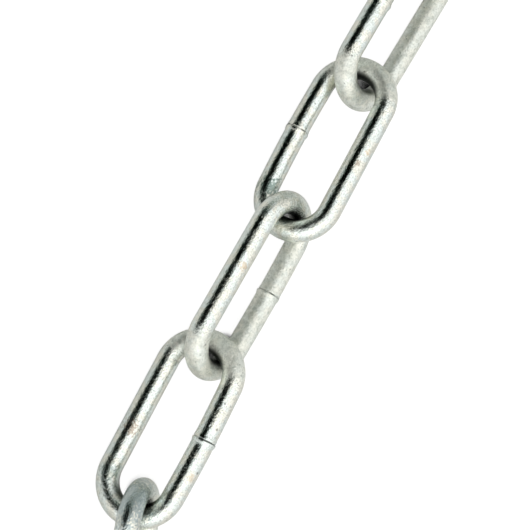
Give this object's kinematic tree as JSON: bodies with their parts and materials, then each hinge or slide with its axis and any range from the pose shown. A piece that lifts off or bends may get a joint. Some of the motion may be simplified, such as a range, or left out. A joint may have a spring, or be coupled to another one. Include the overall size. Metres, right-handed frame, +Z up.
{
  "type": "long-link steel chain",
  "caption": "Length of welded long-link steel chain in zinc-finished round wire, lying nearly straight with its links leaning left and right in turn.",
  "frame": {"origin": "on the ground under the middle of the chain's box", "axes": "+X along the first part of the chain, from link_01 to link_13, +Z up"},
  "size_m": [0.9748, 0.193, 0.0221],
  "materials": {
    "zinc_steel": "bright zinc plating, satin, with small pits and light marks"
  },
  "bodies": {
    "link_01": {"link_01": "zinc_steel"},
    "link_02": {"link_02": "zinc_steel"},
    "link_03": {"link_03": "zinc_steel"},
    "link_04": {"link_04": "zinc_steel"},
    "link_05": {"link_05": "zinc_steel"},
    "link_06": {"link_06": "zinc_steel"},
    "link_07": {"link_07": "zinc_steel"},
    "link_08": {"link_08": "zinc_steel"},
    "link_09": {"link_09": "zinc_steel"},
    "link_10": {"link_10": "zinc_steel"},
    "link_11": {"link_11": "zinc_steel"},
    "link_12": {"link_12": "zinc_steel"},
    "link_13": {"link_13": "zinc_steel"},
    "link_14": {"link_14": "zinc_steel"},
    "link_15": {"link_15": "zinc_steel"},
    "link_16": {"link_16": "zinc_steel"},
    "link_17": {"link_17": "zinc_steel"},
    "link_18": {"link_18": "zinc_steel"},
    "link_19": {"link_19": "zinc_steel"},
    "link_20": {"link_20": "zinc_steel"},
    "link_21": {"link_21": "zinc_steel"},
    "link_22": {"link_22": "zinc_steel"},
    "link_23": {"link_23": "zinc_steel"},
    "link_24": {"link_24": "zinc_steel"}
  },
  "joints": [
    {"name": "crossing_01", "type": "hinge", "parent": "link_01", "child": "link_02", "pos_m": [-0.43639, -0.08443, 0.00861], "axis": [0, 0.7071, 0.7071], "range_deg": [-120, 120]},
    {"name": "crossing_02", "type": "hinge", "parent": "link_02", "child": "link_03", "pos_m": [-0.39469, -0.08443, 0.009], "axis": [0, -0.7071, 0.7071], "range_deg": [-120, 120]},
    {"name": "crossing_03", "type": "hinge", "parent": "link_03", "child": "link_04", "pos_m": [-0.35299, -0.08443, 0.009], "axis": [0, -0.7071, -0.7071], "range_deg": [-120, 120]},
    {"name": "crossing_04", "type": "hinge", "parent": "link_04", "child": "link_05", "pos_m": [-0.31129, -0.08443, 0.00861], "axis": [0, 0.7071, -0.7071], "range_deg": [-120, 120]},
    {"name": "crossing_05", "type": "hinge", "parent": "link_05", "child": "link_06", "pos_m": [-0.26959, -0.08443, 0.009], "axis": [0, 0.7071, 0.7071], "range_deg": [-120, 120]},
    {"name": "crossing_06", "type": "hinge", "parent": "link_06", "child": "link_07", "pos_m": [-0.22789, -0.08443, 0.009], "axis": [0, -0.7071, 0.7071], "range_deg": [-120, 120]},
    {"name": "crossing_07", "type": "hinge", "parent": "link_07", "child": "link_08", "pos_m": [-0.18619, -0.08443, 0.00861], "axis": [0, -0.7071, -0.7071], "range_deg": [-120, 120]},
    {"name": "crossing_08", "type": "hinge", "parent": "link_08", "child": "link_09", "pos_m": [-0.14449, -0.08443, 0.009], "axis": [0, 0.7071, -0.7071], "range_deg": [-120, 120]},
    {"name": "crossing_09", "type": "hinge", "parent": "link_09", "child": "link_10", "pos_m": [-0.10292, -0.0845, 0.00905], "axis": [0.0962, 0.6152, 0.7824], "range_deg": [-120, 120]},
    {"name": "crossing_10", "type": "hinge", "parent": "link_10", "child": "link_11", "pos_m": [-0.06213, -0.08595, 0.00783], "axis": [-0.0744, -0.6672, 0.7412], "range_deg": [-120, 120]},
    {"name": "crossing_11", "type": "hinge", "parent": "link_11", "child": "link_12", "pos_m": [-0.02182, -0.08499, 0.00851], "axis": [0.0045, -0.7313, -0.682], "range_deg": [-120, 120]},
    {"name": "crossing_12", "type": "hinge", "parent": "link_12", "child": "link_13", "pos_m": [0.01975, -0.08502, 0.00933], "axis": [-0.093, 0.5884, -0.8032], "range_deg": [-120, 120]},
    {"name": "crossing_13", "type": "hinge", "parent": "link_13", "child": "link_14", "pos_m": [0.06062, -0.08429, 0.008], "axis": [-0.2499, 0.7961, 0.5511], "range_deg": [-90, 90]},
    {"name": "crossing_14", "type": "hinge", "parent": "link_14", "child": "link_15", "pos_m": [0.09787, -0.06642, 0.0113], "axis": [0.2108, -0.5218, 0.8266], "range_deg": [-120, 120]},
    {"name": "crossing_15", "type": "hinge", "parent": "link_15", "child": "link_16", "pos_m": [0.1357, -0.05113, 0.00899], "axis": [0.2651, -0.656, -0.7067], "range_deg": [-120, 120]},
    {"name": "crossing_16", "type": "hinge", "parent": "link_16", "child": "link_17", "pos_m": [0.17436, -0.03551, 0.00861], "axis": [-0.2649, 0.6556, -0.7071], "range_deg": [-120, 120]},
    {"name": "crossing_17", "type": "hinge", "parent": "link_17", "child": "link_18", "pos_m": [0.21302, -0.01989, 0.009], "axis": [-0.2649, 0.6556, 0.7071], "range_deg": [-120, 120]},
    {"name": "crossing_18", "type": "hinge", "parent": "link_18", "child": "link_19", "pos_m": [0.25169, -0.00427, 0.009], "axis": [0.2649, -0.6556, 0.7071], "range_deg": [-120, 120]},
    {"name": "crossing_19", "type": "hinge", "parent": "link_19", "child": "link_20", "pos_m": [0.29035, 0.01135, 0.00861], "axis": [0.2649, -0.6556, -0.7071], "range_deg": [-120, 120]},
    {"name": "crossing_20", "type": "hinge", "parent": "link_20", "child": "link_21", "pos_m": [0.32901, 0.02697, 0.009], "axis": [-0.2649, 0.6556, -0.7071], "range_deg": [-120, 120]},
    {"name": "crossing_21", "type": "hinge", "parent": "link_21", "child": "link_22", "pos_m": [0.36768, 0.04259, 0.009], "axis": [-0.2649, 0.6556, 0.7071], "range_deg": [-120, 120]},
    {"name": "crossing_22", "type": "hinge", "parent": "link_22", "child": "link_23", "pos_m": [0.40634, 0.05821, 0.00861], "axis": [0.2649, -0.6556, 0.7071], "range_deg": [-120, 120]},
    {"name": "crossing_23", "type": "hinge", "parent": "link_23", "child": "link_24", "pos_m": [0.445, 0.07383, 0.009], "axis": [0.2649, -0.6556, -0.7071], "range_deg": [-120, 120]}
  ]
}
